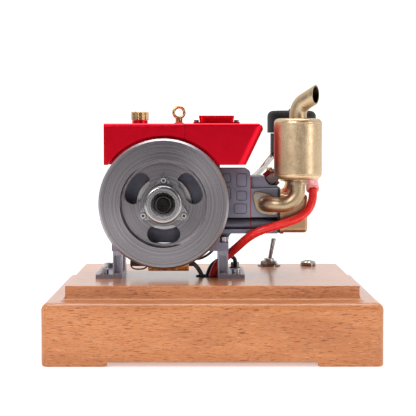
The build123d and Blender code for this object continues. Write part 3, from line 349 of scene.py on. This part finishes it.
def make_muffler_brass(name, light):
    """Plated brass with a fine speckle, made lighter or darker by the factor as painted light and shade, and
    with painted shade down the outlet's bore.
    """
    g = Graph(name, metallic=1.0, roughness=0.36)
    speck = g.noise(1500.0, 3.0, 0.7)
    stops = ((0.28, (0.40, 0.280, 0.165)), (0.5, (0.51, 0.375, 0.235)), (0.74, (0.60, 0.460, 0.300)))
    tone = g.ramp(g.noise(60.0, 5.0, 0.6), *((at, tuple(c * light for c in colour)) for at, colour in stops))
    tone = g.mix(g.level(speck, 0.52, 0.72, 0.0, 0.6), tone, (0.27, 0.17, 0.09))
    tone = g.mix(g.level(speck, 0.30, 0.42, 0.35, 0.0), tone, (0.86, 0.74, 0.55))
    # painted shade down the outlet's bore
    g.colour(g.darken(tone, outlet_bore_shade(g)))
    g.rough(g.noise(420.0, 3.0), 0.30, 0.44)
    g.bump(speck, 0.45, 0.00014)
    height = g.split(g.coords)["Z"]
    for seam in (MUFFLER_BOTTOM + MUFFLER_SEAM, MUFFLER_TOP - MUFFLER_SEAM):
        g.bump(g.level(g.off(height, seam), 0.0, 0.00028), 0.6, 0.0003)
    return g.mat


def make_flywheel_steel():
    """Turned steel: its edges and recess walls, which face away from the front, get a painted highlight, and
    its web gets a painted shade, as it gets less light than the rim.
    """
    g = turned("turned_steel", (0.137, 0.123, 0.132), (0.33, 0.304, 0.317), 0.30, 0.00022, 0.35, 0.75)
    # painted highlight: faces turned away from the front are up to 2.4 times brighter
    painted_edge_highlight = g.level(g.facing()["Y"], -0.96, -0.5, 1.0, 2.4)
    # painted shade: the web is darker than the rim
    web = g.level(about(g, CRANK)[0], *WEB_RADIUS, 0.84, 1.0)
    g.colour(g.darken(g.tone(), g.maths("MULTIPLY", painted_edge_highlight, web)))
    return g.mat


def from_lobe_screws(g):
    """Distance from the nearest of the three lobe screws' axes, in metres."""
    nearest = None
    for angle in map(math.radians, LOBE_ANGLES):
        place = CRANK + LOBE_CIRCLE * Vector((math.cos(angle), 0.0, math.sin(angle)))
        distance = about(g, place)[0]
        nearest = distance if nearest is None else g.maths("MINIMUM", nearest, distance)
    return nearest


def make_hub_steel():
    """Polished hub, with painted shade down its bore and a painted shadow in the joint round each lobe
    screw.
    """
    g = turned("hub_steel", (0.22, 0.205, 0.210), (0.46, 0.44, 0.445), 0.20, 0.0003, 0.3, 0.4)
    # painted shade down the bore
    bore = g.level(about(g, CRANK)[0], *HUB_BORE, 0.05, 1.0)
    # painted shadow round each lobe screw
    joint = g.level(from_lobe_screws(g), 0.0015, 0.0019, 0.25, 1.0)
    g.colour(g.darken(g.tone(), g.maths("MULTIPLY", bore, joint)))
    return g.mat


def make_hub_screws():
    """Steel lobe screws with painted shade in their sockets and round their rims, round a blackened centre
    bolt.
    """
    g = Graph("black_steel", metallic=1.0, roughness=0.3)
    drift = g.noise(300.0, 3.0)
    black = g.ramp(drift, (0.3, (0.010, 0.008, 0.008)), (0.7, (0.028, 0.023, 0.022)))
    steel = g.ramp(drift, (0.3, (0.46, 0.43, 0.43)), (0.7, (0.66, 0.63, 0.63)))
    distance = from_lobe_screws(g)
    # painted shade in each socket and round each rim
    socket = g.level(distance, 0.00062, 0.00082, 0.12, 1.0)
    rim = g.level(distance, 0.00118, 0.00138, 1.0, 0.30)
    lobe_screws = g.darken(steel, g.maths("MULTIPLY", socket, rim))
    g.colour(g.mix(g.level(about(g, CRANK)[0], *BOLT_RADIUS), black, lobe_screws))
    g.rough(drift, 0.24, 0.38)
    g.bump(g.noise(1200.0, 2.0), 0.1, 0.00008)
    return g.mat


def make_plastic(name, low, high, roughness, grain=0.12, coat=0.0, specular=0.5):
    g = Graph(name, roughness=roughness, specular=specular)
    g.colour(g.ramp(g.noise(160.0, 3.0), (0.3, low), (0.7, high)))
    g.rough(g.noise(700.0, 2.0), roughness - 0.08, roughness + 0.08)
    g.bump(g.noise(1700.0, 2.0), grain, 0.00008)
    if coat:
        g.coat(coat, 0.1)
    return g.mat


def make_silicone(name, low, high, roughness, through=0.0, depth=0.0):
    """Soft rubber: light goes through it by a share, and into it by a depth in metres."""
    g = Graph(name, roughness=roughness, specular=0.45)
    g.colour(g.ramp(g.noise(90.0, 2.0), (0.3, low), (0.7, high)))
    g.rough(g.noise(500.0, 2.0), roughness - 0.06, roughness + 0.08)
    g.bump(g.noise(700.0, 2.0), 0.05, 0.0001)
    g.set("Transmission Weight", through)
    if depth:
        g.set("Subsurface Weight", 0.35)
        g.set("Subsurface Scale", depth)
        g.set("Subsurface Radius", (1.0, 0.35, 0.25))
    return g.mat


def make_chrome():
    """Small chromed parts, with painted shade in their creases."""
    g = metal("chrome_trim", (0.24, 0.215, 0.205), (0.42, 0.39, 0.375), 0.22, 0.05)
    g.colour(g.darken(g.tone(), g.painted_crease_shade(0.0012, 0.45, 0.95, 0.2)))
    return g.mat


def make_tape():
    """Glossy amber tape wound round the coil."""
    g = Graph("coil_tape", roughness=0.22, specular=0.6)
    wraps = g.noise(1.0, 2.0, 0.5, g.scaled((700.0, 90.0, 90.0)))
    g.colour(g.ramp(wraps, (0.3, (0.56, 0.15, 0.015)), (0.55, (0.82, 0.30, 0.05)),
                    (0.75, (0.95, 0.55, 0.20))))
    g.bump(wraps, 0.4, 0.0003)
    g.coat(0.6, 0.08)
    return g.mat


def make_laminations():
    """The coil core's stacked sheets, which lie across Y."""
    g = Graph("laminations", metallic=0.5, roughness=0.45)
    layers = g.node("TexWave", wave_type="BANDS", bands_direction="Y")
    layers.inputs["Scale"].default_value = 320.0
    g.join(g.coords, layers.inputs["Vector"])
    g.colour(g.ramp(layers.outputs["Fac"], (0.3, (0.035, 0.02, 0.014)), (0.7, (0.13, 0.075, 0.05))))
    g.bump(layers.outputs["Fac"], 0.3, 0.0001)
    return g.mat


def make_lens():
    """The lamp's tinted lens."""
    g = Graph("led_glass", roughness=0.06, specular=0.6)
    g.colour(g.ramp(g.noise(220.0, 2.0), (0.3, (0.55, 0.62, 0.24)), (0.7, (0.72, 0.80, 0.42))))
    g.set("Transmission Weight", 0.55)
    g.set("Coat Weight", 0.5)
    g.bump(g.noise(500.0, 1.0), 0.04, 0.0001)
    return g.mat


MATERIALS = {
    "beech": make_beech(),
    "fibreboard": make_plastic("fibreboard", (0.06, 0.035, 0.02), (0.11, 0.07, 0.045), 0.75, 0.4),
    "black_rubber": make_plastic("black_rubber", (0.012, 0.012, 0.012), (0.03, 0.03, 0.03), 0.6),
    "grey_metal": make_cast_grey(),
    "foot_metal": make_foot_metal(),
    "turned_steel": make_flywheel_steel(),
    "hub_steel": make_hub_steel(),
    "screw_steel": metal("screw_steel", (0.28, 0.265, 0.27), (0.46, 0.445, 0.45), 0.27, 0.06, 0.1).mat,
    "black_steel": make_hub_screws(),
    "red_anodised": make_red(),
    "brass": metal("brass", (0.58, 0.375, 0.185), (0.70, 0.485, 0.275), 0.26, 0.06, 0.16, 1100.0).mat,
    # the muffler's brass is made lighter than the elbow's and outlet's copies, as painted light
    "muffler_brass": make_muffler_brass("muffler_brass", 1.25),
    "copper_red": make_plastic("copper_red", (0.22, 0.02, 0.015), (0.38, 0.045, 0.03), 0.45),
    "gasket_black": make_plastic("gasket_black", (0.012, 0.012, 0.013), (0.03, 0.03, 0.03), 0.55),
    "inner_steel": metal("inner_steel", (0.40, 0.39, 0.39), (0.55, 0.54, 0.53), 0.30, 0.06, 0.1).mat,
    "inner_aluminium": metal("inner_aluminium", (0.55, 0.55, 0.56), (0.68, 0.68, 0.69), 0.34, 0.06,
                             0.1).mat,
    "ceramic": make_plastic("ceramic", (0.80, 0.79, 0.76), (0.88, 0.87, 0.84), 0.12, 0.03, 0.5),
    "boot_silicone": make_silicone("boot_silicone", (0.88, 0.33, 0.34), (0.93, 0.46, 0.46), 0.24,
                                   depth=0.0015),
    "red_silicone": make_silicone("red_silicone", (0.74, 0.016, 0.014), (0.84, 0.028, 0.022), 0.30,
                                  depth=0.0008),
    "grey_sleeve": make_plastic("grey_sleeve", (0.10, 0.10, 0.105), (0.20, 0.20, 0.21), 0.45),
    "black_sleeve": make_plastic("black_sleeve", (0.010, 0.010, 0.011), (0.025, 0.025, 0.026), 0.4),
    "clear_hose": make_silicone("clear_hose", (0.72, 0.70, 0.66), (0.82, 0.80, 0.76), 0.14, through=0.75),
    "filter_black": make_plastic("filter_black", (0.004, 0.003, 0.004), (0.010, 0.008, 0.009), 0.55, 0.1,
                                 specular=0.25),
    "coil_tape": make_tape(),
    "laminations": make_laminations(),
    "chrome_trim": make_chrome(),
    "led_glass": make_lens(),
    "switch_case": metal("switch_case", (0.40, 0.40, 0.41), (0.58, 0.58, 0.59), 0.24, 0.06, 0.08).mat,
}

# nodes whose finish differs a little from that of their slot; the elbow's and outlet's brass are the
# muffler's brass made darker, as painted shade
OWN_TONE = {
    "exhaust_elbow": make_muffler_brass("elbow_brass", 0.88),
    "muffler_outlet": make_muffler_brass("outlet_brass", 1.0),
    "spark_plug_shell": metal("plug_metal", (0.13, 0.10, 0.095), (0.30, 0.25, 0.24), 0.34, 0.06, 0.1).mat,
    "rocker_cover": metal("cover_bronze", (0.40, 0.235, 0.130), (0.52, 0.325, 0.195), 0.36, 0.06, 0.3,
                          1300.0).mat,
}


# ---------------------------------------------------------------- node shading
CRISP_ANGLE = math.radians(32)
ROUNDED_ANGLE = math.radians(40)

# width of the rounding on a node's sharp edges, in metres
EDGE = {
    "crankcase": 0.00025,
    "cylinder_block": 0.00025,
    "cylinder_head": 0.00025,
    "left_foot": 0.0002,
    "right_foot": 0.0002,
    "fuel_tank": 0.0006,
    "water_hopper": 0.0006,
    "starter_hub": 0.00025,
    "filler_neck": 0.0002,
    "switch_nut": 0.00015,
    "mount_screws": 0.00012,
}


def smooth_group():
    """Modifier that shades faces smooth and keeps the sharper edges crisp."""
    tree = bpy.data.node_groups.new("smooth_by_angle", "GeometryNodeTree")
    tree.interface.new_socket("Geometry", in_out="INPUT", socket_type="NodeSocketGeometry")
    tree.interface.new_socket("Geometry", in_out="OUTPUT", socket_type="NodeSocketGeometry")
    start = tree.nodes.new("NodeGroupInput")
    end = tree.nodes.new("NodeGroupOutput")
    angle = tree.nodes.new("GeometryNodeInputMeshEdgeAngle")
    gentle = tree.nodes.new("FunctionNodeCompare")
    gentle.data_type = "FLOAT"
    gentle.operation = "LESS_EQUAL"
    gentle.inputs[1].default_value = CRISP_ANGLE
    faces = tree.nodes.new("GeometryNodeSetShadeSmooth")
    faces.domain = "FACE"
    edges = tree.nodes.new("GeometryNodeSetShadeSmooth")
    edges.domain = "EDGE"
    link = tree.links.new
    link(angle.outputs["Unsigned Angle"], gentle.inputs[0])
    link(start.outputs[0], faces.inputs[0])
    link(faces.outputs[0], edges.inputs[0])
    link(gentle.outputs[0], edges.inputs["Shade Smooth"])
    link(edges.outputs[0], end.inputs[0])
    return tree


SMOOTH = smooth_group()


def shade(o, edge=0.0):
    """Smooth shading, and a small rounding on sharp edges when a width is given."""
    if edge:
        rounding = o.modifiers.new("edge", "BEVEL")
        rounding.width = edge
        rounding.segments = 2
        rounding.limit_method = "ANGLE"
        rounding.angle_limit = ROUNDED_ANGLE
        rounding.use_clamp_overlap = True
    o.modifiers.new("smooth", "NODES").node_group = SMOOTH


for name, o in NODES.items():
    o.data.materials.clear()
    o.data.materials.append(OWN_TONE.get(name) or MATERIALS[SLOTS[name]])
    shade(o, EDGE.get(name, 0.0))


# ---------------------------------------------------------------- new pieces
def piece(o, slot, body):
    """Give a new piece its finish and the body that it moves with."""
    scene.collection.objects.link(o)
    o.data.materials.append(MATERIALS[slot])
    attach(o, body)
    return o


def wire(name, points, diameter, slot, body="stand", fineness=1):
    """A round wire on one smooth curve; its control points are in millimetres and its diameter in metres."""
    data = bpy.data.curves.new(name, "CURVE")
    data.dimensions = "3D"
    data.bevel_depth = diameter / 2
    data.bevel_resolution = 2 + 2 * fineness
    data.resolution_u = 12 * fineness
    data.use_fill_caps = True
    spline = data.splines.new("NURBS")
    spline.points.add(len(points) - 1)
    for p, place in zip(spline.points, points):
        p.co = (*mm(*place), 1.0)
    spline.order_u = 3
    spline.use_endpoint_u = True
    return piece(bpy.data.objects.new(name, data), slot, body)


def lead(name, points, diameter, slot, replaced):
    """A lead or hose in place of its node, on its route's points."""
    o = wire(name, points, diameter, slot, fineness=2)
    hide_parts(replaced)


def lathe(name, profile, origin, slot, body, steps=64):
    """Turn (radius, height) points, in millimetres, about an upright axis through the origin."""
    bm = bmesh.new()
    verts = [bm.verts.new(mm(radius, 0, height)) for radius, height in profile]
    edges = [bm.edges.new(pair) for pair in zip(verts, verts[1:])]
    bmesh.ops.spin(bm, geom=verts + edges, cent=(0, 0, 0), axis=(0, 0, 1),
                   angle=2 * math.pi, steps=steps)
    bmesh.ops.remove_doubles(bm, verts=bm.verts, dist=1e-6)
    bmesh.ops.recalc_face_normals(bm, faces=bm.faces)
    bm.transform(Matrix.Translation(mm(*origin)))
    data = bpy.data.meshes.new(name)
    bm.to_mesh(data)
    bm.free()
    shade(piece(bpy.data.objects.new(name, data), slot, body))


# ---------------------------------------------------------------- leads and hose
lead("plug_lead", [(-0.8, -11.6, 26.0), (-0.5, -11.0, 40.5), (10.5, -9.9, 49.5), (20.5, -21.3, 60.0),
                   (34.0, -21.6, 64.0), (46.0, -21.3, 68.0), (51.4, -18.5, 76.6), (50.8, -11.5, 84.5)],
     0.0043, "red_silicone", "ht_lead")
lead("coil_wire", [(-11.6, -12.0, 45.2), (-3.2, -13.2, 40.6), (-4.2, -13.5, 28.0)],
     0.0022, "grey_sleeve", "coil_lead")
lead("ground_wire", [(-3.4, -8.3, 26.5), (-3.2, -7.6, 40.6), (6.8, -5.4, 47.0), (12.7, 0.2, 45.6),
                     (12.3, 5.5, 40.4)],
     0.0021, "black_sleeve", "ground_lead")
lead("breather_tube", [(10.8, 15.0, 83.5), (20.5, 15.3, 84.5), (27.0, 15.8, 91.0), (32.0, 16.4, 97.6)],
     0.0031, "clear_hose", "breather_hose")


# ---------------------------------------------------------------- small details
lathe("eye_bolt_collar", [(0.9, 0.0), (2.3, 0.0), (2.45, 0.15), (2.45, 0.5), (2.2, 0.7), (0.9, 0.7)],
      (-16.6, -10.0, 114.2), "red_anodised", "stand")
wire("coil_black_wire", [(-9.0, -10.5, 45.6), (-6.2, -12.2, 45.9), (-2.6, -12.8, 47.6), (0.8, -12.6, 50.4),
                         (2.0, -12.0, 53.0)], 0.0013, "black_sleeve")
wire("coil_tail_wire", [(-40.6, -10.0, 47.0), (-41.3, -12.4, 44.2), (-40.6, -13.2, 41.2),
                        (-36.5, -13.0, 40.6), (-32.8, -11.6, 41.4), (-31.5, -9.5, 44.0)],
     0.0008, "screw_steel")

# a short timing mark on the flywheel's web, above the top lobe
wire("timing_mark", [(-23.7, -32.35, 89.4), (-23.65, -32.35, 89.8), (-23.7, -32.35, 90.2)],
     0.0005, "gasket_black", "crank")


# ---------------------------------------------------------------- studio
FLOOR_HALF = 1.0
TENT_RADIUS = 6.0
FRONT_GREY = (0.10, 0.10, 0.11, 1)
WHITE = (1, 1, 1, 1)
AIM = Vector((0.0, 0.0, 0.07))
LIGHTS = {                                         # place and size in metres, power in watts
    "key": ((-0.45, -0.80, 0.62), (0.45, 0.45), 4.8),
    "fill": ((0.85, -0.55, 0.30), (0.22, 0.6), 2.2),
    "top": ((0.0, 0.05, 0.95), (0.7, 0.45), 4.2),
}


def glowing_white(name, glow):
    g = Graph(name, roughness=0.9, specular=0.0)
    g.colour(g.ramp(g.noise(1.5, 2.0), (0.3, (0.90, 0.90, 0.90)), (0.7, (0.91, 0.91, 0.91))))
    g.set("Emission Color", WHITE)
    g.set("Emission Strength", glow)
    return g.mat


def staged(name, bm, mat):
    """Turn a bmesh into a piece of the studio."""
    data = bpy.data.meshes.new(name)
    bm.to_mesh(data)
    bm.free()
    data.materials.append(mat)
    o = bpy.data.objects.new(name, data)
    scene.collection.objects.link(o)
    return o


def lay_floor():
    """White floor that is lit from below as well, as in a light box."""
    bm = bmesh.new()
    bmesh.ops.create_grid(bm, x_segments=1, y_segments=1, size=FLOOR_HALF)
    staged("floor", bm, glowing_white("floor_white", 0.42))


def pitch_tent():
    """White all round for the camera alone: it lights nothing and no surface mirrors it."""
    bm = bmesh.new()
    bmesh.ops.create_uvsphere(bm, u_segments=32, v_segments=16, radius=TENT_RADIUS)
    tent = staged("tent", bm, glowing_white("tent_white", 1.1))
    for ray in ("diffuse", "glossy", "transmission", "volume_scatter", "shadow"):
        setattr(tent, "visible_" + ray, False)


def light_world():
    """White behind the object and grey in front of it, so that bright metal has something dark to mirror."""
    world = bpy.data.worlds.new("studio")
    scene.world = world
    world.use_nodes = True
    sky = world.node_tree
    coords = sky.nodes.new("ShaderNodeTexCoord")
    split = sky.nodes.new("ShaderNodeSeparateXYZ")
    shift = sky.nodes.new("ShaderNodeMath")
    shift.operation = "MULTIPLY_ADD"
    shift.inputs[1].default_value = 0.5
    shift.inputs[2].default_value = 0.5
    fade = sky.nodes.new("ShaderNodeValToRGB")
    grey, white = fade.color_ramp.elements
    grey.position = 0.30
    grey.color = FRONT_GREY
    white.position = 0.62
    white.color = WHITE
    background = sky.nodes["Background"]
    background.inputs["Strength"].default_value = 1.02
    sky.links.new(coords.outputs["Generated"], split.inputs[0])
    sky.links.new(split.outputs["Y"], shift.inputs[0])
    sky.links.new(shift.outputs[0], fade.inputs["Fac"])
    sky.links.new(fade.outputs["Color"], background.inputs["Color"])


def hang_light(name, place, size, power):
    data = bpy.data.lights.new(name, "AREA")
    data.shape = "RECTANGLE"
    data.size, data.size_y = size
    data.energy = power
    o = bpy.data.objects.new(name, data)
    scene.collection.objects.link(o)
    o.location = place
    o.rotation_euler = (AIM - Vector(place)).to_track_quat("-Z", "Y").to_euler()


lay_floor()
pitch_tent()
light_world()
for name, (place, size, power) in LIGHTS.items():
    hang_light(name, place, size, power)

scene.view_settings.view_transform = "Standard"
